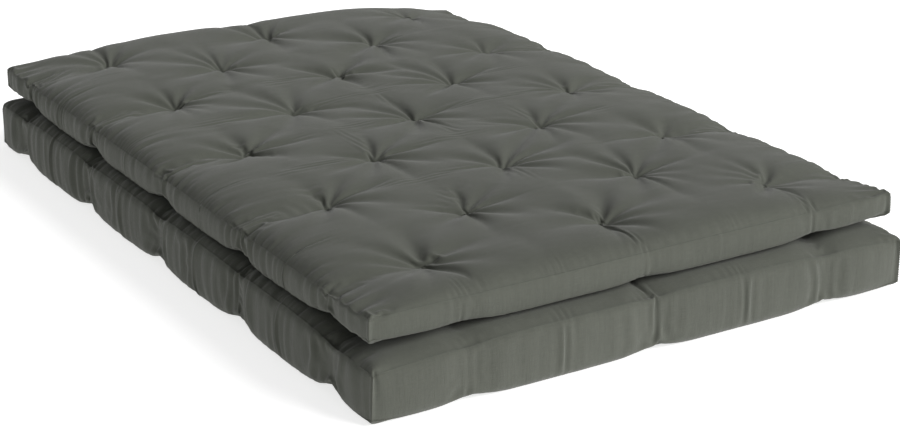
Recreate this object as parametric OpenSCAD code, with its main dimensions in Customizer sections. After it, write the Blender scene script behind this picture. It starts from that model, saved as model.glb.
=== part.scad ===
// Two-part tufted futon: a thick lower futon and a thinner upper futon that lies loose on it.
// Origin at the centre of the floor face, +Z up, +Y along the length, +X across the width.

/* [Lower futon] */
// Width of the lower casing, seam to seam
lower_w = 1400; // [800:10:1600]
// Length of the lower casing, seam to seam
lower_l = 2000; // [1800:10:2200]
// Thickness of the lower futon at its crown
lower_h = 150; // [120:5:180]
// Height of the lower side bands
lower_band_h = 116; // [90:2:116]

/* [Upper futon] */
// Width of the upper casing, seam to seam
upper_w = 1378; // [780:2:1600]
// Length of the upper casing, seam to seam
upper_l = 1942; // [1760:2:2200]
// Thickness of the upper futon at its crown
upper_h = 102; // [90:2:120]
// Height of the upper side bands
upper_band_h = 58; // [40:2:66]

/* [Tufting] */
// Gap between tuft columns, as a share of the casing's width
tuft_pitch_x = 0.168; // [0.15:0.002:0.18]
// Gap between tuft rows, as a share of the casing's length
tuft_pitch_y = 0.104; // [0.096:0.002:0.108]
// Radius of the dimple round a tuft, where it meets the crown
dimple_r = 80; // [50:5:90]
// Depth of the dimples in the lower futon
lower_dimple = 28; // [10:1:30]
// Depth of the dimples in the upper futon
upper_dimple = 24; // [10:1:26]

/* [Fabric and fill] */
// Thickness of the canvas
skin = 1; // [0.6:0.1:1.5]
// Thickness of the foam slab in the lower futon
lower_foam = 44; // [30:2:50]
// Thickness of the foam slab in the upper futon
upper_foam = 40; // [30:2:44]
// Thickness of each of the two flat felts in the lower futon
flat_felt = 10; // [5:1:10]

/* [Hidden] */
stack_gap = 0.3;      // clearance between the two futons
corner_r = 12;        // plan radius of the casing's corners
roll = 80;            // how far in from the edge the crown levels out
panel_lip = 2;        // upright edge of a panel where it meets the bands
floor_rise = 8;       // height of the lower futon's bottom seam above the floor
floor_roll = 30;      // how far in from the edge the lower futon touches the floor
dimple_floor_r = 7;   // flat bottom of a dimple
dimple_steps = 4;     // cones that make up a dimple's bell
thread_r = 1.2;       // twisted tufting thread
thread_hole_r = 1.6;  // needle hole round the thread
knot_r = 4.5;         // domed knot at each end of a tie
seam_thread = 1;      // width of the seam's lock-stitched thread
over = 50;            // how far cutting solids run past the casing

// A futon is [width, length, bottom z, lower seam z, upper seam z, crown z, bottom roll, dimple depth].
LOWER = [lower_w, lower_l, 0, floor_rise, floor_rise + lower_band_h, lower_h, floor_roll, lower_dimple];
upper_z = lower_h + stack_gap;
upper_seam_z = upper_z + (upper_h - upper_band_h) / 2;
UPPER = [upper_w, upper_l, upper_z, upper_seam_z, upper_seam_z + upper_band_h, upper_z + upper_h, roll,
    upper_dimple];
function width(f) = f[0];
function length(f) = f[1];
function base_z(f) = f[2];
function low_seam_z(f) = f[3];
function high_seam_z(f) = f[4];
function crown_z(f) = f[5];
function base_roll(f) = f[6];
function dimple_depth(f) = f[7];
function middle_z(f) = (base_z(f) + crown_z(f)) / 2;

canvas_top = "#5b5c56";
canvas_side = "#4d4d47";
felt_white = "#e4dfd2";
foam_cream = "#e9dcae";
thread_grey = "#45463f";

// Tufts stand in five columns and nine rows, with every other place empty.
function tuft_sites(f) = [
    for (row = [-4:4]) for (column = [-2:2])
        if ((row + column) % 2 == 0) [column * tuft_pitch_x * width(f), row * tuft_pitch_y * length(f)]
];

module at_tufts(f) {
    for (site = tuft_sites(f)) translate([site[0], site[1], 0]) children();
}

// Rectangle with true arcs at its corners.
module rounded_rectangle(w, l, r) {
    square([w - 2 * r, l], center = true);
    square([w, l - 2 * r], center = true);
    for (x = [-1, 1]) for (y = [-1, 1])
        translate([x * (w / 2 - r), y * (l / 2 - r)]) circle(r, $fn = 32);
}

// Section through the stuffed casing, flat crown and rolled edges, pulled in by t.
module section(f, span, t) {
    half = span / 2 - t;
    low = low_seam_z(f) - panel_lip;
    high = high_seam_z(f) + panel_lip;
    translate([-half, low]) square([2 * half, high - low]);
    translate([0, high]) rolled_edge(half, roll, crown_z(f) - t - high);
    translate([0, low]) mirror([0, 1]) rolled_edge(half, base_roll(f), low - base_z(f) - t);
}

// Flat-topped mound of a given half width and rise whose edges are true arcs, in from the edge by reach.
module rolled_edge(half, reach, rise) {
    r = (reach * reach + rise * rise) / (2 * rise);
    translate([-half + reach, 0]) square([2 * (half - reach), rise]);
    for (side = [-1, 1]) intersection() {
        translate([side * (half - reach), rise - r]) circle(r, $fn = 180);
        translate([side > 0 ? half - reach : -half, 0]) square([reach, rise]);
    }
}

// The stuffed casing without its dimples, pulled in by t all round.
module stuffed_form(f, t) {
    intersection() {
        rotate([90, 0, 0]) linear_extrude(length(f) + 2 * over, center = true) section(f, width(f), t);
        rotate([90, 0, 90]) linear_extrude(width(f) + 2 * over, center = true) section(f, length(f), t);
        translate([0, 0, base_z(f) - over]) linear_extrude(crown_z(f) - base_z(f) + 2 * over)
            rounded_rectangle(width(f) - 2 * t, length(f) - 2 * t, corner_r - t);
    }
}

// Bell-shaped hollow that opens upward from z = 0.
module dimple(depth) {
    bell = [
        for (i = [0:dimple_steps]) let (s = i / dimple_steps)
            [dimple_floor_r + (dimple_r - dimple_floor_r) * s, -depth * (1 + cos(180 * s)) / 2]
    ];
    rotate_extrude($fn = 48) polygon(concat([[0, -depth]], bell, [[dimple_r, over], [0, over]]));
}

// The casing pulled in by t, with a dimple at each tuft on both faces.
module tufted_form(f, t) {
    difference() {
        stuffed_form(f, t);
        at_tufts(f) translate([0, 0, crown_z(f) - t]) dimple(dimple_depth(f));
        at_tufts(f) translate([0, 0, base_z(f) + t]) mirror([0, 0, 1]) dimple(dimple_depth(f));
    }
}

// Everything in the casing's plan between two heights.
module layer(f, low, high) {
    translate([0, 0, (low + high) / 2])
        cube([width(f) + 2 * over, length(f) + 2 * over, high - low], center = true);
}

module needle_holes(f) {
    at_tufts(f) translate([0, 0, base_z(f) - over])
        cylinder(r = thread_hole_r, h = crown_z(f) - base_z(f) + 2 * over, $fn = 24);
}

// The casing's wall between two heights, without the dimples further in.
module wall_zone(f, low, high) {
    translate([0, 0, low]) linear_extrude(high - low) difference() {
        square([width(f) + 2 * over, length(f) + 2 * over], center = true);
        square([width(f) - over, length(f) - over], center = true);
    }
}

// Canvas panel sewn to the upper edge of the bands.
module top_panel(f) {
    color(canvas_top) difference() {
        tufted_form(f, 0);
        tufted_form(f, skin);
        layer(f, base_z(f) - over, middle_z(f));
        wall_zone(f, middle_z(f) - 1, high_seam_z(f));
        needle_holes(f);
    }
}

// Canvas panel sewn to the lower edge of the bands.
module bottom_panel(f) {
    color(canvas_top) difference() {
        tufted_form(f, 0);
        tufted_form(f, skin);
        layer(f, middle_z(f), crown_z(f) + over);
        wall_zone(f, low_seam_z(f), middle_z(f) + 1);
        needle_holes(f);
    }
}

// Part of the plan that one band covers, mitred at 45 degrees through the corners.
module band_sector(f, angle) {
    reach = length(f);
    gap = (length(f) - width(f)) / 2;
    rotate(angle) {
        if (angle % 180 == 0)
            polygon([[0, -gap], [reach, -gap - reach], [reach, gap + reach], [0, gap]]);
        else
            polygon([[gap, 0], [gap + reach, -reach], [gap + reach, reach]]);
    }
}

// Canvas band along one side: 0 is right, 90 back, 180 left and 270 front.
module side_band(f, angle) {
    color(canvas_side) translate([0, 0, low_seam_z(f)]) linear_extrude(high_seam_z(f) - low_seam_z(f))
        intersection() {
            difference() {
                rounded_rectangle(width(f), length(f), corner_r);
                rounded_rectangle(width(f) - 2 * skin, length(f) - 2 * skin, corner_r - skin);
            }
            band_sector(f, angle);
        }
}

// Cotton felt that fills the casing above a height.
module upper_felt(f, low) {
    color(felt_white) difference() {
        tufted_form(f, skin);
        layer(f, base_z(f) - over, low);
        needle_holes(f);
    }
}

// Cotton felt that fills the casing below a height.
module under_felt(f, high) {
    color(felt_white) difference() {
        tufted_form(f, skin);
        layer(f, high, crown_z(f) + over);
        needle_holes(f);
    }
}

// Flat slab that fills the casing's plan between two heights.
module slab(f, low, high, tint) {
    color(tint) difference() {
        translate([0, 0, low]) linear_extrude(high - low)
            rounded_rectangle(width(f) - 2 * skin, length(f) - 2 * skin, corner_r - skin);
        needle_holes(f);
    }
}

// Each tie is a thread through the whole futon with a domed knot in the dimple at either end.
module tuft_ties(f) {
    top = crown_z(f) - dimple_depth(f);
    bottom = base_z(f) + dimple_depth(f);
    color(thread_grey) at_tufts(f) {
        translate([0, 0, bottom]) cylinder(r = thread_r, h = top - bottom, $fn = 24);
        for (end = [[top, 0], [bottom, 1]]) translate([0, 0, end[0]]) mirror([0, 0, end[1]])
            rotate_extrude($fn = 32) polygon(concat([[0, 0]], [
                for (a = [0:15:90]) [knot_r * cos(a), knot_r * 0.7 * sin(a)]
            ]));
    }
}

// Lock-stitched thread along both seams and up the four corners.
module seam_thread(f) {
    w = width(f);
    l = length(f);
    low = low_seam_z(f);
    high = high_seam_z(f);
    color(thread_grey) {
        for (z = [low, high - seam_thread]) translate([0, 0, z]) linear_extrude(seam_thread)
            difference() {
                rounded_rectangle(w + 2 * seam_thread, l + 2 * seam_thread, corner_r + seam_thread);
                rounded_rectangle(w, l, corner_r);
            }
        translate([0, 0, low]) linear_extrude(high - low) intersection() {
            difference() {
                rounded_rectangle(w + 2 * seam_thread, l + 2 * seam_thread, corner_r + seam_thread);
                rounded_rectangle(w, l, corner_r);
            }
            for (turn = [-1, 1])
                for (x = [-1, 1]) translate([x * (w / 2 - corner_r), turn * x * (l / 2 - corner_r)])
                    rotate(turn * 45) square([4 * corner_r, 2 * seam_thread], center = true);
        }
    }
}

lower_foam_low = middle_z(LOWER) - lower_foam / 2;
lower_foam_high = middle_z(LOWER) + lower_foam / 2;
upper_foam_low = middle_z(UPPER) - upper_foam / 2;
upper_foam_high = middle_z(UPPER) + upper_foam / 2;

module lower_bottom_panel() bottom_panel(LOWER);
module lower_left_band() side_band(LOWER, 180);
module lower_right_band() side_band(LOWER, 0);
module lower_front_band() side_band(LOWER, 270);
module lower_back_band() side_band(LOWER, 90);
module lower_top_panel() top_panel(LOWER);
module lower_bottom_felt() under_felt(LOWER, lower_foam_low - flat_felt);
module lower_inner_bottom_felt() slab(LOWER, lower_foam_low - flat_felt, lower_foam_low, felt_white);
module lower_foam_core() slab(LOWER, lower_foam_low, lower_foam_high, foam_cream);
module lower_inner_top_felt() slab(LOWER, lower_foam_high, lower_foam_high + flat_felt, felt_white);
module lower_top_felt() upper_felt(LOWER, lower_foam_high + flat_felt);
module lower_tuft_ties() tuft_ties(LOWER);
module lower_seam_thread() seam_thread(LOWER);
module upper_bottom_panel() bottom_panel(UPPER);
module upper_left_band() side_band(UPPER, 180);
module upper_right_band() side_band(UPPER, 0);
module upper_front_band() side_band(UPPER, 270);
module upper_back_band() side_band(UPPER, 90);
module upper_top_panel() top_panel(UPPER);
module upper_bottom_felt() under_felt(UPPER, upper_foam_low);
module upper_foam_core() slab(UPPER, upper_foam_low, upper_foam_high, foam_cream);
module upper_top_felt() upper_felt(UPPER, upper_foam_high);
module upper_tuft_ties() tuft_ties(UPPER);
module upper_seam_thread() seam_thread(UPPER);

lower_bottom_panel();
lower_left_band();
lower_right_band();
lower_front_band();
lower_back_band();
lower_top_panel();
lower_bottom_felt();
lower_inner_bottom_felt();
lower_foam_core();
lower_inner_top_felt();
lower_top_felt();
lower_tuft_ties();
lower_seam_thread();
upper_bottom_panel();
upper_left_band();
upper_right_band();
upper_front_band();
upper_back_band();
upper_top_panel();
upper_bottom_felt();
upper_foam_core();
upper_top_felt();
upper_tuft_ties();
upper_seam_thread();
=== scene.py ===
"""Futon mattress: two tufted, sewn canvas cases full of felt and foam, the thinner one on the thicker.

Each case is simulated as one cloth, welded along its seams and filled from inside. The cloth is worked out in
millimetres in the frame's axes, and its meshes are written in metres.
"""
import math
from concurrent.futures import ThreadPoolExecutor

import bpy
import numpy as np
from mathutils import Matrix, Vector


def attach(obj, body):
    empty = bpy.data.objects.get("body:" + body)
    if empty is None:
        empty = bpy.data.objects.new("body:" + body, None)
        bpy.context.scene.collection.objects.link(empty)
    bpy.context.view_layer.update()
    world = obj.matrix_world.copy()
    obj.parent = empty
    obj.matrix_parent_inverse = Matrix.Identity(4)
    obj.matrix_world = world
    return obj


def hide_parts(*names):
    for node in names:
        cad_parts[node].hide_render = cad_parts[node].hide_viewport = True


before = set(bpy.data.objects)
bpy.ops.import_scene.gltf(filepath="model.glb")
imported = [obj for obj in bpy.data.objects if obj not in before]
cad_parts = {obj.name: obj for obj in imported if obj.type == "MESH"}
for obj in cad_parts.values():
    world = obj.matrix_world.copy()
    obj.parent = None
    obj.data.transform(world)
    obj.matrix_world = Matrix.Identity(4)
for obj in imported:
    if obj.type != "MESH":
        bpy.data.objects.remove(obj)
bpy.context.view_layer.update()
F4 = np.float32
MM = 0.001


# ---------------------------------------------------------------- cloth on structured grids


def refine_grid(P, axis, ring=False):
    """Puts a cubic midpoint between neighbours along one axis. A ring closes on itself."""
    P = np.moveaxis(P, axis, -1)
    n = P.shape[-1]
    out = np.empty(P.shape[:-1] + (2 * n if ring else 2 * n - 1,), P.dtype)
    out[..., ::2] = P
    if ring:
        out[..., 1::2] = (9 * (P + np.roll(P, -1, -1)) - np.roll(P, 1, -1) - np.roll(P, -2, -1)) / 16
    else:
        before = 2 * P[..., :1] - P[..., 1:2]
        after = 2 * P[..., -1:] - P[..., -2:-1]
        pad = np.concatenate([before, P, after], axis=-1)
        out[..., 1::2] = (9 * (pad[..., 1:-2] + pad[..., 2:-1]) - pad[..., :-3] - pad[..., 3:]) / 16
    return np.moveaxis(out, -1, axis)


def hold_length(a, b, rest, squeeze, stiff=1.0):
    """Moves both ends of each edge towards its rest length. Squeeze is the share used where it is too short."""
    d = b - a
    length = np.sqrt(d[0] * d[0] + d[1] * d[1] + d[2] * d[2]) + F4(1e-6)
    move = (length - rest) / length * F4(0.5 * stiff)
    np.multiply(move, F4(squeeze), out=move, where=move < 0)
    d *= move
    a += d
    b -= d


def laplace(P, ring=False):
    """Sum of the differences to the neighbours in the grid: how far each point is out of line."""
    if ring:
        out = np.roll(P, 1, 2) + np.roll(P, -1, 2) - 2 * P
    else:
        out = np.zeros_like(P)
        d = P[:, :, 1:] - P[:, :, :-1]
        out[:, :, :-1] += d
        out[:, :, 1:] -= d
    d = P[:, 1:] - P[:, :-1]
    out[:, :-1] += d
    out[:, 1:] -= d
    return out


def hold_panel(P, across, along, slant, squeeze, shear):
    """One pass over a panel's edges in both directions and its diagonals, every other one at a time."""
    hold_length(P[:, :, 0:-1:2], P[:, :, 1::2], across[:, 0::2], squeeze)
    hold_length(P[:, :, 1:-1:2], P[:, :, 2::2], across[:, 1::2], squeeze)
    hold_length(P[:, 0:-1:2], P[:, 1::2], along[0::2], squeeze)
    hold_length(P[:, 1:-1:2], P[:, 2::2], along[1::2], squeeze)
    for s in (0, 1):
        hold_length(P[:, :-1, s:-1:2], P[:, 1:, s + 1::2], slant[:, s::2], squeeze, shear)
        hold_length(P[:, 1:, s:-1:2], P[:, :-1, s + 1::2], slant[:, s::2], squeeze, shear)


def hold_band(B, around, up, squeeze, shear):
    """One pass over the edges and diagonals of the ring of bands."""
    hold_length(B[:, 0:-1:2], B[:, 1::2], up, squeeze)
    hold_length(B[:, 1:-1:2], B[:, 2::2], up, squeeze)
    hold_length(B[:, :, 0::2], B[:, :, 1::2], around[:, 0::2], squeeze)
    hold_length(B[:, :, 1:-1:2], B[:, :, 2::2], around[:, 1:-1:2], squeeze)
    hold_length(B[:, :, -1:], B[:, :, :1], around[:, -1:], squeeze)
    slant = np.sqrt(around[1:] ** 2 + up ** 2)
    hold_length(B[:, :-1, 0::2], B[:, 1:, 1::2], slant[:, 0::2], squeeze, shear)
    hold_length(B[:, 1:, 0::2], B[:, :-1, 1::2], slant[:, 0::2], squeeze, shear)
    hold_length(B[:, :-1, 1:-1:2], B[:, 1:, 2::2], slant[:, 1:-1:2], squeeze, shear)
    hold_length(B[:, 1:, 1:-1:2], B[:, :-1, 2::2], slant[:, 1:-1:2], squeeze, shear)


def bell(distance, width):
    """1 at no distance, falling smoothly to 0 over about two widths."""
    return np.exp(-(distance / width) ** 2)


def shoulder(depth, roll, power):
    """0 at the edge, 1 from roll inwards, along a rounded shoulder. A higher power is squarer."""
    return (1 - (1 - np.clip(depth / roll, 0, 1)) ** power) ** (1 / power)


def smooth_noise(shape, rng, cells):
    """Smooth noise in about -1..1 with the given number of cells along each axis."""
    grid = rng.uniform(-1, 1, (int(cells[0]) + 3, int(cells[1]) + 3))

    def along(g, n):
        t = np.linspace(1, g.shape[0] - 2.001, n)
        i = t.astype(int)
        f = (t - i)[:, None]
        a, b, c, d = g[i - 1], g[i], g[i + 1], g[np.minimum(i + 2, len(g) - 1)]
        return b + 0.5 * f * (c - a + f * (2 * a - 5 * b + 4 * c - d + f * (3 * (b - c) + d - a)))

    return along(along(grid, shape[0]).T.copy(), shape[1]).T


class Cover:
    """One futon's case: top panel, bottom panel and the ring of bands between them, welded at the seams.

    The grids top and low are (3, points along y, points along x). The grid band is (3, points up, points
    round the rim), anticlockwise from the front left corner. Lengths are millimetres and spares are shares.
    Each kind of chance draws from its own seed, so that one doesn't shift another.
    """

    # Spare cloth in the rest lengths, which makes the pleats and gathers.
    spare_x, spare_y = 0.004, 0.008
    spare_tuft, spare_tuft_reach = 0.13, 42.0
    spare_short_seam, spare_long_seam, spare_seam_reach = 0.02, 0.13, 34.0
    spare_uneven = 0.45
    spare_along_seam = 0.002
    spare_short_band, spare_long_band, spare_pinch = 0.02, 0.055, 0.01
    band_uneven, band_waves = 0.7, 60

    # How the cloth and the fill push, at each step.
    squeeze, shear, damping = 0.8, 0.25, 0.97
    fill_pull, tuft_ease, tuft_ease_reach = 0.002, 0.6, 60.0
    band_pull, seam_pull, hold = 0.006, 0.03, 0.0003
    panel_bend, band_bend = 0.0008, 0.004
    sag, push = 0.006, 0.3
    nose = 0.06                                # share by which a seam is drawn into a round nose
    first_jolt, next_jolt = 1.0, 0.4
    steps, quick_steps = (200, 300, 500), (60, 60, 30)

    # Fill: wells at the tufts, valleys from the outer tufts to the seams, lumps of bunched fill.
    well_power = 1.05
    valley_reach, valley_start, short_share = 55.0, 40, 0.55
    petal, petal_reach, petal_count = 10.0, (34, 50), (6, 10)
    pucker, pucker_spacing, pucker_reach = 6.5, 15.0, 70
    pucker_fan, pucker_fan_reach = 0.5, 150
    lumps, fine_lumps, low_lumps = 3.5, 0.4, 0.5
    corner_drop, corner_reach = 0.75, 150.0
    falls, fall_low = (), 0.8                  # places where it sinks: x, y, radius, depth
    side_fall, side_fall_reach, side_fall_start = 0.0, 130, 150

    # Bands and seams.
    pinch_reach, pinch_flat, bulge_flat = 52.0, 0.4, 0.35
    ripple, ripple_short, fold_sizes, tuck, tuck_short = 2.0, 0.5, (5, 19), 0.06, 0.4
    corner_in, corner_cut, corner_width = 0.5, 0.015, 40
    corner_calm, corner_low, middle_reach = 60.0, 0.2, 200
    swell = 0.0                                # how far the top seam rises away from the corners

    # Tufts and their ties.
    last_col, last_row = 2, 4                  # tufts on each side of the middle one
    tie_span, tie_turn, tie_shift, tie_depth = 6.5, (-0.9, 0.35), 3.0, (-2, 3)

    crowding = 0.4                             # how far the grid lines draw together at the tufts
    floor_height = 0.3
    floor_at = None                            # function of x and y, where the floor isn't flat
    lid = None                                 # height that the top panel can't pass

    def tufts(self):
        """Column, row and place of each tuft, on a staggered grid."""
        rows = range(-self.last_row, self.last_row + 1)
        cols = range(-self.last_col, self.last_col + 1)
        return [(c, r, c * self.pitch_x, r * self.pitch_y) for r in rows for c in cols if (r + c) % 2 == 0]

    def axis(self, count, pitch, between, outside, size):
        """Grid lines along one side, closer together at the tufts and at the edge."""
        def crowded(n):
            t = np.arange(1, n + 1) / n
            return t - self.crowding * np.sin(2 * np.pi * t) / (2 * np.pi)

        half = [0.0]
        for c in range(count):
            half += list((c + crowded(between)) * pitch)
        half += list(count * pitch + (size / 2 - count * pitch) * crowded(outside))
        half = np.array(half)
        return np.concatenate([-half[:0:-1], half])

    def start(self):
        """Lays the cloth out on the coarsest grid, in the shape of its fill."""
        self.level = 0
        self.band_rows = self.rows
        self.xs = self.axis(self.last_col, self.pitch_x, 10, 10, self.width)
        self.ys = self.axis(self.last_row, self.pitch_y, 10, 8, self.length)
        self.rng = np.random.default_rng(self.seed)
        self.set_level()
        self.top = np.stack([self.grid_x, self.grid_y, self.fill_top]).astype(F4)
        self.low = np.stack([self.grid_x, self.grid_y, self.fill_low]).astype(F4)
        self.band = np.empty((3, self.band_rows + 1, len(self.rim[0])), F4)
        self.band[:2] = self.top[:2, self.rim[0], self.rim[1]][:, None, :]
        low, high = self.low[2][self.rim], self.top[2][self.rim]
        self.band[2] = np.linspace(0, 1, self.band_rows + 1)[:, None] * (high - low) + low
        self.jolt(self.first_jolt)

    def jolt(self, size):
        """Moves every point a little at random, so that the cloth can buckle either way."""
        self.top[2] += self.rng.normal(0, size, self.top[2].shape).astype(F4)
        self.low[2] += self.rng.normal(0, size, self.low[2].shape).astype(F4)
        n = self.rng.normal(0, size, self.band[0].shape)
        self.band[0] += (n * self.out_x).astype(F4)
        self.band[1] += (n * self.out_y).astype(F4)

    def fill(self, edge, crown, shoulders, well, sign):
        """Height that the fill would reach by itself. A shoulder is its width and its power."""
        x, y = self.grid_x, self.grid_y
        dx, dy = self.width / 2 - np.abs(x), self.length / 2 - np.abs(y)
        full = 1.0
        depths = (x + self.width / 2, self.width / 2 - x, y + self.length / 2, self.length / 2 - y)
        for depth, (roll, power) in zip(depths, shoulders):
            full = full * shoulder(depth, roll, power)
        from_corner = np.hypot(np.maximum(dx, 0), np.maximum(dy, 0))
        full *= 1 - self.corner_drop * bell(from_corner, self.corner_reach)
        d = np.full(x.shape, 1e9)
        v = np.zeros(x.shape)
        for c, r, tx, ty in self.tufts():
            d = np.minimum(d, np.hypot(x - tx, y - ty))
            if abs(c) == self.last_col:
                v = np.maximum(v, self.valley(x * np.sign(c) - abs(tx), y - ty))
            if abs(r) == self.last_row:
                v = np.maximum(v, self.valley(y * np.sign(r) - abs(ty), x - tx, self.short_share))
        wells = well * np.exp(-(d / self.well_reach) ** self.well_power)
        wells = wells - self.petal * self.petals() - self.pucker * self.puckers(dx)
        height = edge + (crown - edge) * full - sign * (wells + self.valley_depth * v)
        self.from_tuft = d
        return height - self.sunk

    def valley(self, outwards, sideways, share=1.0):
        """A valley that runs from an outer tuft to the seam."""
        half = self.valley_start
        return share * np.clip((outwards + half) / (2 * half), 0, 1) * bell(sideways, self.valley_reach)

    def sinking(self):
        """How far the whole futon sinks: in places, and along the right side."""
        x, y = self.grid_x, self.grid_y
        right = np.exp(-(self.width / 2 - x) / self.side_fall_reach)
        total = self.side_fall * (right * (1 - np.exp(-(y + self.length / 2) / self.side_fall_start)))
        for cx, cy, r, amount in self.falls:
            total = total + amount * np.exp(-((x - cx) ** 2 + (y - cy) ** 2) / r ** 2)
        return total

    def petals(self):
        """Fill bunched between the pleats that run out from each tuft: round ridges, sharp valleys."""
        rng = np.random.default_rng(self.seed + 11)
        total = np.zeros(self.grid_x.shape)
        for _, _, tx, ty in self.tufts():
            count = rng.integers(*self.petal_count)
            a, b, c = rng.uniform(0, 2 * np.pi, 3)
            x, y = self.grid_x - tx, self.grid_y - ty
            d = np.hypot(x, y) / rng.uniform(*self.petal_reach)
            turn = np.arctan2(y, x)
            turn = turn + 0.30 * np.sin(turn + a) + 0.16 * np.sin(2 * turn + b)
            wave = 1.6 * np.abs(np.cos(count * turn / 2 + c)) - 1.0
            total += wave * d * np.exp(1 - d) * (1 + 0.5 * np.cos(turn - b))
        return total

    def puckers(self, dx):
        """Folds gathered along the long seams, fanning in towards the tufts."""
        rng = np.random.default_rng(self.seed + 12)
        period = 2 * self.pitch_y
        reach = self.pucker_fan_reach
        bend = self.pucker_fan * np.clip(dx, 0, reach) / reach * period / (2 * np.pi)
        along = self.grid_y + bend * np.sin(2 * np.pi * self.grid_y / period)
        knots = np.arange(-1.2 * self.length / 2, 1.2 * self.length / 2, self.pucker_spacing)
        out = 0
        for left in (True, False):
            wave = np.interp(along, knots, rng.uniform(-1, 1, len(knots)))
            out = out + np.where((self.grid_x < 0) == left, wave, 0)
        return out * np.exp(-np.clip(dx, 0, None) / self.pucker_reach)

    def set_level(self):
        """Works out everything that depends on the present grid."""
        self.grid_x, self.grid_y = [a.astype(F4) for a in np.meshgrid(self.xs, self.ys)]
        self.lay_rim()
        self.cut_bands()
        self.sunk = self.sinking()
        crown = self.crown + self.lift
        self.fill_top = self.fill(self.seam_high, crown, self.shoulders, self.well_top, 1)
        self.fill_low = self.fill(self.seam_low, self.base - self.drop, [self.under] * 4, self.well_low, -1)
        self.cut_panels()
        rng = np.random.default_rng(self.seed + 8)
        shape = self.grid_x.shape
        coarse = smooth_noise(shape, rng, (9, 6))
        lump = self.lumps * (coarse + self.fine_lumps * smooth_noise(shape, rng, (34, 24)))
        self.fill_top = (self.fill_top + lump).astype(F4)
        self.fill_low = (self.fill_low - self.low_lumps * lump).astype(F4)
        self.shape_bands()
        self.needle_points()
        self.floor = self.floor_at(self.grid_x, self.grid_y) if self.floor_at else F4(self.floor_height)

    def lay_rim(self):
        """Row and column of each rim point, of its neighbour inside, and the way out of the case there."""
        ny, nx = len(self.ys), len(self.xs)
        right, up = np.arange(nx - 1), np.arange(ny - 1)
        left, down = np.arange(nx - 1, 0, -1), np.arange(ny - 1, 0, -1)
        row = np.concatenate([np.zeros(nx - 1, int), up, np.full(nx - 1, ny - 1), down])
        col = np.concatenate([right, np.full(ny - 1, nx - 1), left, np.zeros(ny - 1, int)])
        self.rim = (row, col)
        self.inside = (np.clip(row, 1, ny - 2), np.clip(col, 1, nx - 2))
        side = np.repeat([0, 1, 2, 3], [nx - 1, ny - 1, nx - 1, ny - 1])
        self.out_x = np.where(side == 1, 1.0, np.where(side == 3, -1.0, 0)).astype(F4)
        self.out_y = np.where(side == 2, 1.0, np.where(side == 0, -1.0, 0)).astype(F4)
        self.rim_x, self.rim_y = self.grid_x[self.rim], self.grid_y[self.rim]
        self.long_side = np.abs(self.out_x) > 0
        to_end = self.length / 2 - np.abs(self.rim_y)
        to_side = self.width / 2 - np.abs(self.rim_x)
        self.from_corner = np.where(self.long_side, to_end, to_side)
        dx, dy = np.diff(self.xs), np.diff(self.ys)
        self.rim_step = np.concatenate([dx, dy, dx[::-1], dy[::-1]])

    def cut_bands(self):
        """Rest lengths round the bands, with more spare cloth where the outer tufts pinch them."""
        n = len(self.rim_x)
        pinched = np.zeros(n)
        for c, r, tx, ty in self.tufts():
            if abs(c) == self.last_col:
                here = bell(self.rim_y - ty, self.pinch_reach)
                pinched = np.maximum(pinched, np.where(self.out_x * c > 0, here, 0))
            if abs(r) == self.last_row:
                here = self.short_share * bell(self.rim_x - tx, self.pinch_reach)
                pinched = np.maximum(pinched, np.where(self.out_y * r > 0, here, 0))
        self.pinched = pinched
        waves = np.random.default_rng(self.seed + 20).uniform(-1, 1, self.band_waves)
        places = np.linspace(0, 1, self.band_waves + 1)
        self.uneven = 1 + self.band_uneven * np.interp(np.arange(n) / n, places, np.append(waves, 0))
        turn_in = 1 + self.spare_along_seam - self.corner_cut * bell(self.from_corner, self.corner_width)
        spare = np.where(self.long_side, self.spare_long_band, self.spare_short_band)
        body = self.rim_step * (1 + spare * self.uneven + self.spare_pinch * pinched)
        body *= turn_in
        self.seam_step = self.rim_step * turn_in
        self.rest_around = np.repeat(body[None, :], self.band_rows + 1, axis=0).astype(F4)
        self.rest_around[0] = self.rest_around[-1] = self.seam_step

    def cut_panels(self):
        """Rest lengths in the panels, with spare cloth at the tufts and along the seams."""
        ny, nx = self.grid_x.shape
        dx, dy = np.diff(self.xs), np.diff(self.ys)
        in_x, in_y = self.width / 2 - np.abs(self.grid_x), self.length / 2 - np.abs(self.grid_y)
        noise_rng = np.random.default_rng(self.seed + 5)
        patchy = 1 + self.spare_uneven * smooth_noise(self.grid_x.shape, noise_rng, (9, 6))
        drawn = self.spare_tuft * np.exp(-self.from_tuft / self.spare_tuft_reach) * patchy
        reach = self.spare_seam_reach
        across = self.spare_x + drawn + self.spare_short_seam * np.exp(-in_y / reach)
        along = self.spare_y + drawn + self.spare_long_seam * np.exp(-in_x / reach)
        rest_x = (dx * (1 + (across[:, 1:] + across[:, :-1]) / 2)).astype(F4)
        rest_y = (dy[:, None] * (1 + (along[1:] + along[:-1]) / 2)).astype(F4)
        self.rest_slant = np.hypot((rest_x[1:] + rest_x[:-1]) / 2, (rest_y[:, 1:] + rest_y[:, :-1]) / 2)
        rest_x[0] = rest_x[-1] = self.seam_step[:nx - 1]
        rest_y[:, 0] = rest_y[:, -1] = self.seam_step[nx - 1:nx + ny - 2]
        self.rest_x, self.rest_y = rest_x, rest_y

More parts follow.
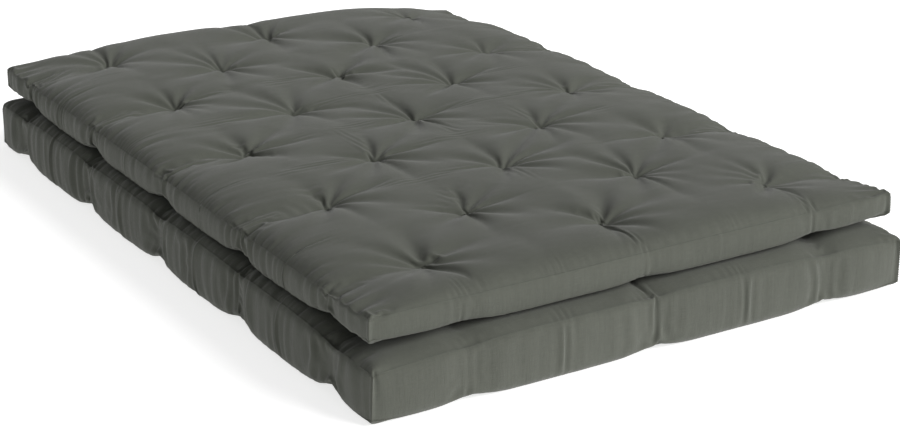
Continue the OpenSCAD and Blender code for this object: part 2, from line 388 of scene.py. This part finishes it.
    def shape_bands(self):
        """How far out the fill pushes the bands, the heights of the seams, and the bands' rest heights."""
        pinched, from_corner = self.pinched, self.from_corner
        near_corner = np.exp(-from_corner / self.corner_calm)
        t = np.linspace(-1, 1, self.band_rows + 1)[:, None]
        reach = self.width / 2 * np.abs(self.out_x) + self.length / 2 * np.abs(self.out_y)
        reach = reach - self.corner_in * bell(from_corner, self.corner_width)
        rng = np.random.default_rng(self.seed + 13)
        run = np.cumsum(self.rim_step)
        small, large = self.fold_sizes
        knots = np.cumsum(rng.uniform(small, large, int(run[-1] / 11)))
        top_fold, low_fold = [np.interp(run, knots, rng.uniform(-1, 1, len(knots))) for _ in range(2)]
        folds = top_fold * (1 + t) / 2 + low_fold * (1 - t) / 2
        calm = np.where(self.long_side, 1.0, self.ripple_short) * (0.5 + 0.5 * self.uneven)
        folds *= calm * (1 - near_corner)
        bulge = self.bulge * (1 - self.bulge_flat * t ** 2) * (1 - near_corner)
        pinch = self.pinch * pinched * (1 - self.pinch_flat * t ** 2)
        self.reach = (reach + bulge - pinch + self.ripple * folds).astype(F4)
        tucks = np.interp(run, knots, rng.uniform(-1, 1, len(knots)))
        tucks = tucks * np.where(self.long_side, 1.0, self.tuck_short)
        middle = 1 - bell(from_corner, self.middle_reach)
        sunk = self.sunk[self.rim]
        low = self.seam_low - self.fall_low * sunk + self.rise * pinched - self.slump * middle * (1 - pinched)
        high = self.seam_high - sunk - self.dip * pinched + self.swell * middle
        self.seam_heights = [low.astype(F4), high.astype(F4)]
        short = ((self.rise + self.dip) * pinched - self.swell * middle) / self.band_cut
        share = 1 - short - self.corner_low * near_corner + self.tuck * tucks
        self.rest_up = (self.band_cut / self.band_rows * share).astype(F4)

    def needle_points(self):
        """Each tie passes through the cloth at two points a finger's width apart."""
        rng = np.random.default_rng(self.seed + 2)
        rows, cols, top, low = [], [], [], []
        self.ties = []
        for _, _, tx, ty in self.tufts():
            row = int(np.argmin(np.abs(self.ys - ty)))
            col = int(np.argmin(np.abs(self.xs - tx)))
            turn = rng.uniform(*self.tie_turn)
            shift_x, shift_y = rng.normal(0, self.tie_shift, 2)
            dz = rng.uniform(*self.tie_depth)
            reach = (0, 1, 2)[self.level]
            across, along = int(round(reach * math.cos(turn))), int(round(reach * math.sin(turn)))
            self.ties.append((row, col, along, across))
            for k in ((-1, 1) if reach else (0,)):
                rows.append(row + k * along)
                cols.append(col + k * across)
                x = tx + shift_x + k * self.tie_span * math.cos(turn)
                y = ty + shift_y + k * self.tie_span * math.sin(turn)
                top.append((x, y, self.tuft_top + dz))
                low.append((x, y, self.tuft_low - dz / 2))
        self.pins = (np.array(rows), np.array(cols))
        self.pin_top, self.pin_low = np.array(top, F4).T, np.array(low, F4).T

    def refine(self):
        """Doubles every grid."""
        self.level += 1
        self.band_rows *= 2
        self.xs = np.sort(np.concatenate([self.xs, (self.xs[1:] + self.xs[:-1]) / 2]))
        self.ys = np.sort(np.concatenate([self.ys, (self.ys[1:] + self.ys[:-1]) / 2]))
        self.top = refine_grid(refine_grid(self.top, 1), 2)
        self.low = refine_grid(refine_grid(self.low, 1), 2)
        self.band = refine_grid(refine_grid(self.band, 1), 2, ring=True)
        self.set_level()
        self.jolt(self.next_jolt)

    def move_panel(self, P, before, target, side):
        """One step of a panel. Side is 1 for the top panel, which the fill pushes up, and -1 for the other."""
        coast(P, before, self.damping)
        P[0] += F4(self.hold) * (self.grid_x - P[0])
        P[1] += F4(self.hold) * (self.grid_y - P[1])
        P[2] += side * np.clip(self.pull * (side * (target - P[2])), -self.sag, self.push)
        P[...] -= F4(self.panel_bend) * laplace(laplace(P))
        hold_panel(P, self.rest_x, self.rest_y, self.rest_slant, self.squeeze, self.shear)

    def move_band(self, B, before):
        """One step of the ring of bands."""
        coast(B, before, self.damping)
        B[0] += F4(self.hold) * (self.rim_x - B[0]) * np.abs(self.out_y)
        B[1] += F4(self.hold) * (self.rim_y - B[1]) * np.abs(self.out_x)
        outwards = F4(self.band_pull) * (self.reach - B[0] * self.out_x - B[1] * self.out_y)
        outwards = np.clip(outwards, -self.sag, self.push)
        B[0] += outwards * self.out_x
        B[1] += outwards * self.out_y
        for seam, z in zip((0, -1), self.seam_heights):
            B[2, seam] += F4(self.seam_pull) * (z - B[2, seam])
        B[...] -= F4(self.band_bend) * laplace(laplace(B, True), True)
        hold_band(B, self.rest_around, self.rest_up, self.squeeze, self.shear)

    def weld(self, P, seam, beside, share):
        """Joins a panel's edge to the band's, drawn a little towards the cloth on both sides of it."""
        edge = (P[:, self.rim[0], self.rim[1]] + self.band[:, seam]) * F4(0.5)
        near = (P[:, self.inside[0], self.inside[1]] + self.band[:, beside]) * F4(0.5)
        edge += F4(share) * F4(self.nose) * (near - edge)
        P[:, self.rim[0], self.rim[1]] = edge
        self.band[:, seam] = edge

    def run(self, steps, pool):
        top, low, band = self.top, self.low, self.band
        near_tuft = bell(self.from_tuft, self.tuft_ease_reach)
        self.pull = (self.fill_pull * (1 - self.tuft_ease * near_tuft)).astype(F4)
        jobs = (
            (self.move_panel, top, top.copy(), self.fill_top, 1),
            (self.move_panel, low, low.copy(), self.fill_low, -1),
            (self.move_band, band, band.copy()),
        )
        for _ in range(steps):
            for job in [pool.submit(*job) for job in jobs]:
                job.result()
            self.weld(top, -1, -2, 1.0)
            self.weld(low, 0, 1, self.nose_low)
            top[:, self.pins[0], self.pins[1]] = self.pin_top
            low[:, self.pins[0], self.pins[1]] = self.pin_low
            np.maximum(low[2], self.floor, out=low[2])
            np.maximum(band[2], F4(self.floor_height), out=band[2])
            if self.lid:
                np.minimum(top[2], F4(self.lid), out=top[2])

    def settle(self, pool):
        """Runs the cloth on three grids, each twice as fine as the one before."""
        first, second, third = self.steps
        self.start()
        self.run(first, pool)
        self.refine()
        self.run(second, pool)
        self.refine()
        self.run(third, pool)


def coast(P, before, damping):
    """Carries each point on with its speed from the step before."""
    speed = (P - before) * F4(damping)
    before[...] = P
    P += speed


class Lower(Cover):
    """The thick futon on the floor. The upper one presses its top flat, to the height of the lid."""

    width, length = 1400, 2000
    pitch_x, pitch_y = 0.168 * 1400, 0.104 * 2000
    base, seam_low, seam_high, crown = 0, 5, 122, 150
    lift, drop, lid = 12.0, 3.0, 149.8
    shoulders = ((75, 2.5), (110, 2.3), (110, 2.3), (110, 2.3))
    under = (60, 2.6)
    nose_low = 0.05
    tuft_top, tuft_low = 123.0, 25.0
    well_top, well_low, well_reach, valley_depth = 24.0, 14.0, 60.0, 22.0
    petal, corner_drop = 7.0, 0.6
    band_cut, bulge, pinch = 119.0, 17.0, 15.0
    rise, dip, slump, swell = 24.0, 5.0, 0.0, 15.0
    rows, seed = 6, 4


class Upper(Cover):
    """The thin futon lying on it, sunk along its right side and at the far right corner."""

    width, length = 1378, 1942
    pitch_x, pitch_y = 0.168 * 1378, 0.104 * 1942
    base, seam_low, seam_high, crown = 150.3, 172.3, 226.0, 252.3
    lift, drop = 8.0, 4.0
    shoulders = ((150, 1.9), (210, 1.6), (95, 2.2), (60, 2.6))
    under = (75, 2.6)
    nose_low = 0.5
    tuft_top, tuft_low = 228.0, 175.0
    well_top, well_low, well_reach, valley_depth = 24.0, 14.0, 62.0, 14.0
    falls, side_fall = ((689, 971, 260, 34), (-250, 900, 350, -7)), 20.0
    band_cut, bulge, pinch = 58.0, 8.0, 8.0
    rise, dip, slump = 8.0, 4.5, 22.0
    rows, seed = 4, 9


def height_of(cover, clearance=1.5):
    """Height of a cover's top panel at any place, from its grid, with a little air above it."""
    z, xs, ys = cover.top[2].copy(), cover.xs.copy(), cover.ys.copy()

    def at(x, y):
        across = np.clip(np.interp(x, xs, np.arange(len(xs))), 0, len(xs) - 1.001)
        along = np.clip(np.interp(y, ys, np.arange(len(ys))), 0, len(ys) - 1.001)
        i, j = across.astype(int), along.astype(int)
        u, v = across - i, along - j
        front = z[j, i] * (1 - u) + z[j, i + 1] * u
        back = z[j + 1, i] * (1 - u) + z[j + 1, i + 1] * u
        return (front * (1 - v) + back * v + clearance).astype(F4)

    return at


with ThreadPoolExecutor(3) as pool:
    lower = Lower()
    lower.settle(pool)
    upper = Upper()
    upper.floor_at = height_of(lower)
    upper.settle(pool)


# ---------------------------------------------------------------- meshes


def mesh_object(name, verts, quads, uv=None):
    """Smooth mesh object from millimetre vertices (n, 3) and quads (m, 4). The uv is per vertex, in metres."""
    me = bpy.data.meshes.new(name)
    me.vertices.add(len(verts))
    me.vertices.foreach_set("co", (np.asarray(verts, F4) * F4(MM)).ravel())
    quads = np.asarray(quads, np.int32)
    me.loops.add(quads.size)
    me.loops.foreach_set("vertex_index", quads.ravel())
    me.polygons.add(len(quads))
    me.polygons.foreach_set("loop_start", np.arange(0, quads.size, quads.shape[1], dtype=np.int32))
    me.update(calc_edges=True)
    me.polygons.foreach_set("use_smooth", np.full(len(quads), True))
    if uv is not None:
        layer = me.uv_layers.new(name="cloth")
        layer.data.foreach_set("uv", (np.asarray(uv, F4) * F4(MM))[quads.ravel()].ravel())
    ob = bpy.data.objects.new(name, me)
    bpy.context.scene.collection.objects.link(ob)
    return ob


def grid_quads(rows, cols, flip=False):
    """Quads of a grid of points counted row by row, facing up unless flipped."""
    j, i = np.meshgrid(np.arange(rows - 1), np.arange(cols - 1), indexing="ij")
    corners = [j * cols + i, j * cols + i + 1, (j + 1) * cols + i + 1, (j + 1) * cols + i]
    quads = np.stack(corners, -1).reshape(-1, 4)
    return quads[:, ::-1] if flip else quads


def unit(v, axis=0):
    return v / np.linalg.norm(v, axis=axis, keepdims=True)


def outward(cover):
    """Unit direction away from the case at each rim point, along the diagonal at the corners."""
    d = np.stack([cover.out_x, cover.out_y])
    return unit(d + np.roll(d, 1, 1))


WELT = ((0.7, 0.1), (0.9, 0.9), (0.3, 1.7))    # out and down from the seam, round the turned edge


def panel(name, cover, grid, up):
    """A panel with its sewn edge turned over the band as a narrow welt."""
    rows, cols = grid.shape[1:]
    verts = grid.reshape(3, -1).T
    laid = [cover.grid_x * (1 + cover.spare_x), cover.grid_y * (1 + cover.spare_y)]
    uv = np.stack(laid, -1).reshape(-1, 2)
    ring = cover.rim[0] * cols + cover.rim[1]
    away = outward(cover)
    edge = verts[ring]
    n = len(ring)
    lips = []
    for out, down in WELT:
        lip = edge.copy()
        lip[:, 0] += out * away[0]
        lip[:, 1] += out * away[1]
        lip[:, 2] -= down if up else -down
        lips.append(lip)
    loops = [ring] + [len(verts) + k * n + np.arange(n) for k in range(len(WELT))]
    strips = []
    for a, b in zip(loops, loops[1:]):
        strip = np.stack([a, b, np.roll(b, -1), np.roll(a, -1)], -1)
        strips.append(strip if up else strip[:, ::-1])
    quads = np.vstack([grid_quads(rows, cols, flip=not up)] + strips)
    all_uv = [uv] + [uv[ring] + away.T * (k + 1) for k in range(len(WELT))]
    return mesh_object(name, np.vstack([verts] + lips), quads, np.vstack(all_uv))


def band_spans(cover):
    """First and last rim column of each band."""
    nx, ny = len(cover.xs) - 1, len(cover.ys) - 1
    return {
        "front": (0, nx),
        "right": (nx, nx + ny),
        "back": (nx + ny, 2 * nx + ny),
        "left": (2 * nx + ny, 2 * nx + 2 * ny),
    }


def bands(prefix, cover):
    """The four bands, cut at the corner seams."""
    rows, n = cover.band.shape[1:]
    run = np.concatenate([[0], np.cumsum(cover.rest_around[rows // 2])])
    made = {}
    for side, (first, last) in band_spans(cover).items():
        columns = np.arange(first, last + 1)
        verts = cover.band[:, :, columns % n].reshape(3, -1).T
        v = np.linspace(0, cover.band_cut, rows)[:, None] + 0 * columns
        uv = np.stack([run[columns] + 0 * v, v], -1).reshape(-1, 2)
        name = f"{prefix}_{side}_band_canvas"
        made[side] = mesh_object(name, verts, grid_quads(rows, len(columns)), uv)
    return made


STITCH, STITCH_PITCH = 4.4, 6.2
STITCH_SHAPE = ((0.0, 0.15), (0.25, 0.55), (0.75, 0.55), (1.0, 0.15))    # share of the length, radius
STITCH_SIDES = 6
STITCH_DROP = 3.4              # how far the stitches lie from the seam, on the band
SEAM_PROUD, CORNER_PROUD = 1.0, 0.7


def stitches_along(points, first, last_gap):
    """Start and end of each stitch along a line."""
    run = np.concatenate([[0], np.cumsum(np.linalg.norm(np.diff(points, axis=0), axis=1))])
    at = np.arange(first, run[-1] - last_gap, STITCH_PITCH)
    return [np.stack([np.interp(s, run, points[:, k]) for k in range(3)], -1) for s in (at, at + STITCH)]


def seam_stitches(name, cover):
    """Short spindles of thread along both seams and up the corners."""
    away = outward(cover)
    sewn = []
    for row, down in ((-1, -STITCH_DROP), (0, STITCH_DROP)):
        line = cover.band[:, row].T.copy()
        line[:, 0] += SEAM_PROUD * away[0]
        line[:, 1] += SEAM_PROUD * away[1]
        line[:, 2] += down
        sewn.append(stitches_along(np.vstack([line, line[:1]]), 0, 5))
    for corner, _ in band_spans(cover).values():
        line = cover.band[:, :, corner].T.copy()
        line[:, 0] += CORNER_PROUD * away[0, corner]
        line[:, 1] += CORNER_PROUD * away[1, corner]
        sewn.append(stitches_along(line, 4, 8))
    start, end = [np.vstack(ends) for ends in zip(*sewn)]
    t = unit(end - start, 1)
    side = np.cross(t, [0, 0, 1.0])
    upright = np.linalg.norm(side, axis=1) < 0.3
    side[upright] = np.cross(t[upright], [1.0, 0, 0])
    side = unit(side, 1)
    up = np.cross(side, t)
    n = STITCH_SIDES
    rings = []
    for share, r in STITCH_SHAPE:
        for k in range(n):
            turn = 2 * math.pi * k / n
            rings.append(start + (end - start) * share + r * (side * math.cos(turn) + up * math.sin(turn)))
    verts = np.stack(rings, 1).reshape(-1, 3)
    last = n * (len(STITCH_SHAPE) - 1)
    faces = []
    for a in range(0, last, n):
        for i in range(n):
            j = (i + 1) % n
            faces.append([a + i, a + j, a + n + j, a + n + i])
    faces += [[3, 2, 1, 0], [5, 4, 3, 0]]
    faces += [[last, last + 1, last + 2, last + 3], [last, last + 3, last + 4, last + 5]]
    base = np.arange(len(start))[:, None, None] * (last + n)
    return mesh_object(name, verts, (np.array(faces)[None] + base).reshape(-1, 4))


def tube(points, radius, sides=8):
    """Closed tube round a closed loop of points: vertices and quads."""
    P = np.asarray(points, float)
    n = len(P)
    t = unit(np.roll(P, -1, 0) - np.roll(P, 1, 0), 1)
    out = P - P.mean(0)
    side = unit(out - t * np.sum(out * t, 1)[:, None], 1)
    up = np.cross(t, side)
    turn = np.linspace(0, 2 * np.pi, sides, endpoint=False)[None, :, None]
    verts = P[:, None] + radius * (side[:, None] * np.cos(turn) + up[:, None] * np.sin(turn))
    quads = []
    for a in range(n):
        b = (a + 1) % n
        for i in range(sides):
            j = (i + 1) % sides
            quads.append([a * sides + i, b * sides + i, b * sides + j, a * sides + j])
    return verts.reshape(-1, 3), np.array(quads)


def round_loop(corners, n=6):
    """Closed loop through the corners with eased bends."""
    P = np.asarray(corners, float)
    share = np.linspace(0, 1, n, endpoint=False)[None, :, None]
    out = (P[:, None] + (np.roll(P, -1, 0) - P)[:, None] * share).reshape(-1, 3)
    for _ in range(2):
        out = (np.roll(out, 1, 0) + 2 * out + np.roll(out, -1, 0)) / 4
    return out


def ball(centre, radii, sides=10, rings=7):
    """Flattened ball, with its two ends closed by fans of quads."""
    turns = np.linspace(0, 2 * np.pi, sides, endpoint=False)
    rises = np.linspace(0.12, np.pi - 0.12, rings)
    rx, ry, rz = radii
    verts = [[rx * math.sin(b) * math.cos(a), ry * math.sin(b) * math.sin(a), rz * math.cos(b)]
             for b in rises for a in turns]
    quads = []
    for j in range(rings - 1):
        for i in range(sides):
            k = (i + 1) % sides
            quads.append([j * sides + i, (j + 1) * sides + i, (j + 1) * sides + k, j * sides + k])
    fan = [[0, i, i + 1, i + 2] for i in range(1, sides - 1, 2)]
    last = (rings - 1) * sides
    quads += fan + [[last + i for i in reversed(face)] for face in fan]
    return np.array(verts) + centre, np.array(quads)


TWINE_R, TWINE_PROUD = 0.8, 0.9
KNOT_RISE, KNOT_RADII = 1.4, (2.2, 1.7, 1.3)


def tuft_ties(name, cover):
    """Loops of twine through the futon, with the stitch and its knot lying in the bottom of each dimple."""
    across = (-1, -0.5, 0, 0.5, 1)
    proud = np.array([0, 0, TWINE_PROUD])
    verts, quads, count = [], [], 0
    for row, col, b, a in cover.ties:
        places = [(row + int(round(b * k)), col + int(round(a * k))) for k in across]
        top = [cover.top[:, j, i] for j, i in places]
        low = [cover.low[:, j, i] for j, i in places[::-1]]
        loop = round_loop([p + proud for p in top] + [p - proud for p in low])
        knot = top[2] + np.array([0, 0, KNOT_RISE])
        for v, q in (tube(loop, TWINE_R), ball(knot, KNOT_RADII)):
            verts.append(v)
            quads.append(q + count)
            count += len(v)
    return mesh_object(name, np.vstack(verts), np.vstack(quads))


FILL_GAP, FILL_STRIDE, FILL_LEAST = 4.0, 4, 8    # air under the canvas, coarser grid, thinnest fill


def nearest(z, pick):
    """The nearest height of the cover round each of the coarser grid's points."""
    k = FILL_STRIDE
    for axis in (0, 1):
        pad = np.pad(z, [(k, k) if a == axis else (0, 0) for a in (0, 1)], mode="edge")
        z = pick([np.take(pad, np.arange(z.shape[axis]) + a, axis) for a in range(2 * k + 1)], axis=0)
    return z[::k, ::k].astype(float)


def fill_layer(name, cover, low, high):
    """A slab of fill between two shares of the cover's thickness, dimpled at the tufts."""
    k = FILL_STRIDE
    top = nearest(cover.top[2], np.min) - FILL_GAP
    bottom = nearest(cover.low[2], np.max) + FILL_GAP
    X, Y = cover.grid_x[::k, ::k].astype(float), cover.grid_y[::k, ::k].astype(float)
    walls = {side: cover.band[:, :, a:b] for side, (a, b) in band_spans(cover).items()}
    front, right, back, left = walls["front"], walls["right"], walls["back"], walls["left"]
    to_right = np.interp(Y[:, 0], right[1, 0], right[0].min(0)) - FILL_GAP
    to_left = -np.interp(Y[:, 0], left[1, 0][::-1], left[0].max(0)[::-1]) - FILL_GAP
    to_back = np.interp(X[0], back[0, 0][::-1], back[1].min(0)[::-1]) - FILL_GAP
    to_front = -np.interp(X[0], front[0, 0], front[1].max(0)) - FILL_GAP
    half_x, half_y = cover.width / 2, cover.length / 2
    X = np.where(X > 0, X / half_x * to_right[:, None], X / half_x * to_left[:, None])
    Y = np.where(Y > 0, Y / half_y * to_back[None, :], Y / half_y * to_front[None, :])
    thick = np.maximum(top - bottom, FILL_LEAST)
    rows, cols = X.shape
    faces = [np.stack([X, Y, bottom + thick * share], -1).reshape(-1, 3) for share in (low, high)]
    over = rows * cols
    index = np.arange(over).reshape(rows, cols)
    rim = np.concatenate([index[0, :-1], index[:-1, -1], index[-1, :0:-1], index[:0:-1, 0]])
    wall = np.stack([rim, np.roll(rim, -1), np.roll(rim, -1) + over, rim + over], -1)
    quads = np.vstack([grid_quads(rows, cols, flip=True), grid_quads(rows, cols) + over, wall])
    return mesh_object(name, np.vstack(faces), quads)


# ---------------------------------------------------------------- materials


def material(name):
    """New material with its node tree and its shader."""
    mat = bpy.data.materials.new(name)
    mat.use_nodes = True
    nt = mat.node_tree
    for node in list(nt.nodes):
        if node.type not in ("BSDF_PRINCIPLED", "OUTPUT_MATERIAL"):
            nt.nodes.remove(node)
    return mat, nt, nt.nodes["Principled BSDF"]


def add(nt, kind, **values):
    """New node. Each value goes to the input of that name, or else to the node's own setting."""
    node = nt.nodes.new(kind)
    for key, value in values.items():
        if key in node.inputs:
            node.inputs[key].default_value = value
        else:
            setattr(node, key, value)
    return node


def math_node(nt, operation, a, b):
    node = add(nt, "ShaderNodeMath", operation=operation)
    for k, v in enumerate((a, b)):
        if isinstance(v, (int, float)):
            node.inputs[k].default_value = v
        else:
            nt.links.new(v, node.inputs[k])
    return node.outputs[0]


def sine(nt, source, pitch):
    node = add(nt, "ShaderNodeMath", operation="SINE")
    nt.links.new(math_node(nt, "MULTIPLY", source, 2 * math.pi / pitch), node.inputs[0])
    return node.outputs[0]


def mixed(nt, *shares):
    """Sum of sources, each taken about its middle and scaled."""
    total = None
    for source, middle, share in shares:
        part = math_node(nt, "SUBTRACT", source, middle) if middle else source
        part = math_node(nt, "MULTIPLY", part, share)
        total = part if total is None else math_node(nt, "ADD", total, part)
    return total


def scaled(nt, source, x, y, z=1.0):
    mapping = add(nt, "ShaderNodeMapping")
    mapping.inputs["Scale"].default_value = (x, y, z)
    nt.links.new(source, mapping.inputs["Vector"])
    return mapping.outputs["Vector"]


def noise(nt, vector, scale, detail, rough=0.5):
    node = add(nt, "ShaderNodeTexNoise", Scale=scale, Detail=detail, Roughness=rough)
    nt.links.new(vector, node.inputs["Vector"])
    return node.outputs["Fac"]


def tint(nt, bsdf, source, tone, dark, light):
    """Base colour from darker to lighter shades of one tone. Each end is a position and a share."""
    ramp = add(nt, "ShaderNodeValToRGB")
    for element, (position, share) in zip(ramp.color_ramp.elements, (dark, light)):
        element.position = position
        element.color = (*[min(c * share, 1) for c in tone], 1)
    nt.links.new(source, ramp.inputs["Fac"])
    nt.links.new(ramp.outputs["Color"], bsdf.inputs["Base Color"])


def bump(nt, source, strength, distance):
    node = add(nt, "ShaderNodeBump", Strength=strength, Distance=distance)
    nt.links.new(source, node.inputs["Height"])
    return node


THREAD_PITCH = 0.0011


def canvas(name, tone, crinkle):
    """Plain-weave cotton canvas on the cloth's own coordinates, in metres."""
    mat, nt, bsdf = material(name)
    uv = add(nt, "ShaderNodeUVMap", uv_map="cloth").outputs["UV"]
    axes = add(nt, "ShaderNodeSeparateXYZ")
    nt.links.new(uv, axes.inputs[0])
    warp, weft = [sine(nt, axes.outputs[k], THREAD_PITCH) for k in (0, 1)]
    weave = math_node(nt, "MULTIPLY", warp, weft)
    slub_u = noise(nt, scaled(nt, uv, 40, 900), 1.0, 2.0)
    slub_v = noise(nt, scaled(nt, uv, 900, 40), 1.0, 2.0)
    slubs = math_node(nt, "ADD", slub_u, slub_v)
    broad = noise(nt, uv, 2.6, 4.0, 0.55)
    mottle = noise(nt, uv, 38.0, 4.0, 0.6)
    shade = mixed(nt, (slubs, 1.0, 0.5), (broad, 0.5, 0.35), (mottle, 0.5, 0.22), (weave, 0, 0.05))
    tint(nt, bsdf, math_node(nt, "ADD", shade, 0.5), tone, (0.30, 0.84), (0.70, 1.16))
    rough = math_node(nt, "ADD", math_node(nt, "MULTIPLY", mottle, 0.16), 0.78)
    nt.links.new(rough, bsdf.inputs["Roughness"])
    bsdf.inputs["Sheen Weight"].default_value = 0.18
    bsdf.inputs["Sheen Roughness"].default_value = 0.45
    bsdf.inputs["Specular IOR Level"].default_value = 0.25
    fold = noise(nt, scaled(nt, uv, *crinkle), 1.0, 3.0, 0.45)
    soft = bump(nt, fold, 0.4, 0.002)
    cloth = math_node(nt, "ADD", math_node(nt, "MULTIPLY", weave, 0.35), slubs)
    fine = bump(nt, cloth, 0.35, 0.0006)
    nt.links.new(soft.outputs["Normal"], fine.inputs["Normal"])
    nt.links.new(fine.outputs["Normal"], bsdf.inputs["Normal"])
    return mat


def fibrous(name, tone, scale, strength, distance, stretch=1.0):
    """Felt, foam or twine on object coordinates."""
    mat, nt, bsdf = material(name)
    obj = add(nt, "ShaderNodeTexCoord").outputs["Object"]
    place = scaled(nt, obj, 1, 1, stretch)
    fine = noise(nt, place, scale, 5.0, 0.65)
    broad = noise(nt, place, scale * 0.12, 3.0, 0.5)
    tint(nt, bsdf, mixed(nt, (fine, 0, 0.6), (broad, 0, 0.4)), tone, (0.35, 0.8), (0.65, 1.1))
    bsdf.inputs["Roughness"].default_value = 0.9
    nt.links.new(bump(nt, fine, strength, distance).outputs["Normal"], bsdf.inputs["Normal"])
    return mat


CANVAS_TONE = (0.0725, 0.0768, 0.0630)
canvas_panel = canvas("canvas_panel", CANVAS_TONE, (5, 42))
canvas_band = canvas("canvas_band", CANVAS_TONE, (110, 9))
felt_mat = fibrous("cotton_felt", (0.74, 0.70, 0.61), 260, 0.8, 0.002)
foam_mat = fibrous("foam", (0.80, 0.70, 0.40), 900, 0.6, 0.001)
thread_mat = fibrous("twine", (0.06, 0.062, 0.05), 1400, 0.6, 0.0004, 3)


# ---------------------------------------------------------------- pieces


def finish(ob, mat, body, node):
    """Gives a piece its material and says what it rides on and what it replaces."""
    ob.data.materials.append(mat)
    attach(ob, body)
    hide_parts(node)


def build_case(prefix, cover):
    """Panels, bands, thread and ties of one futon."""
    body = prefix + "_futon"
    for part, grid, up in (("top", cover.top, True), ("bottom", cover.low, False)):
        ob = panel(f"{prefix}_{part}_panel_canvas", cover, grid, up)
        finish(ob, canvas_panel, body, f"{prefix}_{part}_panel")
    for side, ob in bands(prefix, cover).items():
        finish(ob, canvas_band, body, f"{prefix}_{side}_band")
    finish(seam_stitches(f"{prefix}_seam_stitches", cover), thread_mat, body, f"{prefix}_seam_thread")
    finish(tuft_ties(f"{prefix}_tuft_twine", cover), thread_mat, body, f"{prefix}_tuft_ties")


FOAM = ("slab", foam_mat, "foam", 0.9)             # kind of piece, material, slot, share of its space filled
FELT = ("batt", felt_mat, "cotton_felt", 0.7)


def build_fill(prefix, cover, layers):
    """The layers of fill of one futon, each between two shares of its thickness."""
    for layer, (low, high) in layers.items():
        kind, mat, slot, share = FOAM if layer == "foam_core" else FELT
        ob = fill_layer(f"{prefix}_{layer}_{kind}", cover, low, high)
        finish(ob, mat, prefix + "_futon", f"{prefix}_{layer}")


build_case("lower", lower)
build_case("upper", upper)
build_fill("lower", lower, {
    "bottom_felt": (0.0, 0.28),
    "inner_bottom_felt": (0.285, 0.345),
    "foam_core": (0.35, 0.65),
    "inner_top_felt": (0.655, 0.715),
    "top_felt": (0.72, 1.0),
})
build_fill("upper", upper, {
    "bottom_felt": (0.0, 0.295),
    "foam_core": (0.3, 0.7),
    "top_felt": (0.705, 1.0),
})


# ---------------------------------------------------------------- stage, light and camera

scene = bpy.context.scene
scene.view_settings.view_transform = "Standard"
FLOOR = 14.0
floor_corners = [(-FLOOR, -FLOOR, 0), (FLOOR, -FLOOR, 0), (FLOOR, FLOOR, 0), (-FLOOR, FLOOR, 0)]
me = bpy.data.meshes.new("floor")
me.from_pydata(floor_corners, [], [(0, 1, 2, 3)])
floor = bpy.data.objects.new("floor", me)
scene.collection.objects.link(floor)
floor_mat, _, floor_bsdf = material("floor")
floor_bsdf.inputs["Base Color"].default_value = (0.8, 0.8, 0.8, 1)
floor_bsdf.inputs["Roughness"].default_value = 0.8
floor_bsdf.inputs["Emission Color"].default_value = (1, 1, 1, 1)
floor_bsdf.inputs["Emission Strength"].default_value = 0.7
me.materials.append(floor_mat)

world = bpy.data.worlds.new("studio")
scene.world = world
world.use_nodes = True
background = world.node_tree.nodes["Background"]
background.inputs[0].default_value = (1, 1, 1, 1)
background.inputs[1].default_value = 0.26

KEY_FROM = Vector((0.55, -0.60, 0.50))
light = bpy.data.lights.new("key", "SUN")
light.energy = 4.0
light.angle = math.radians(40)
key = bpy.data.objects.new("key", light)
scene.collection.objects.link(key)
key.rotation_euler = (-KEY_FROM).to_track_quat("-Z", "Y").to_euler()

AZIMUTH, ELEVATION = math.radians(-31.6), math.radians(21.2)
LOOK_AT, DISTANCE = Vector((-0.0919, -0.3131, 0.11)), 5.4386
flat = math.cos(ELEVATION)
back = Vector((math.sin(AZIMUTH) * flat, -math.cos(AZIMUTH) * flat, math.sin(ELEVATION)))
camera = bpy.data.cameras.new("camera")
camera.lens = 91.7
camera.sensor_width = 36
cam = bpy.data.objects.new("camera", camera)
scene.collection.objects.link(cam)
cam.location = LOOK_AT + back * DISTANCE
cam.rotation_euler = (-back).to_track_quat("-Z", "Y").to_euler()
scene.camera = cam
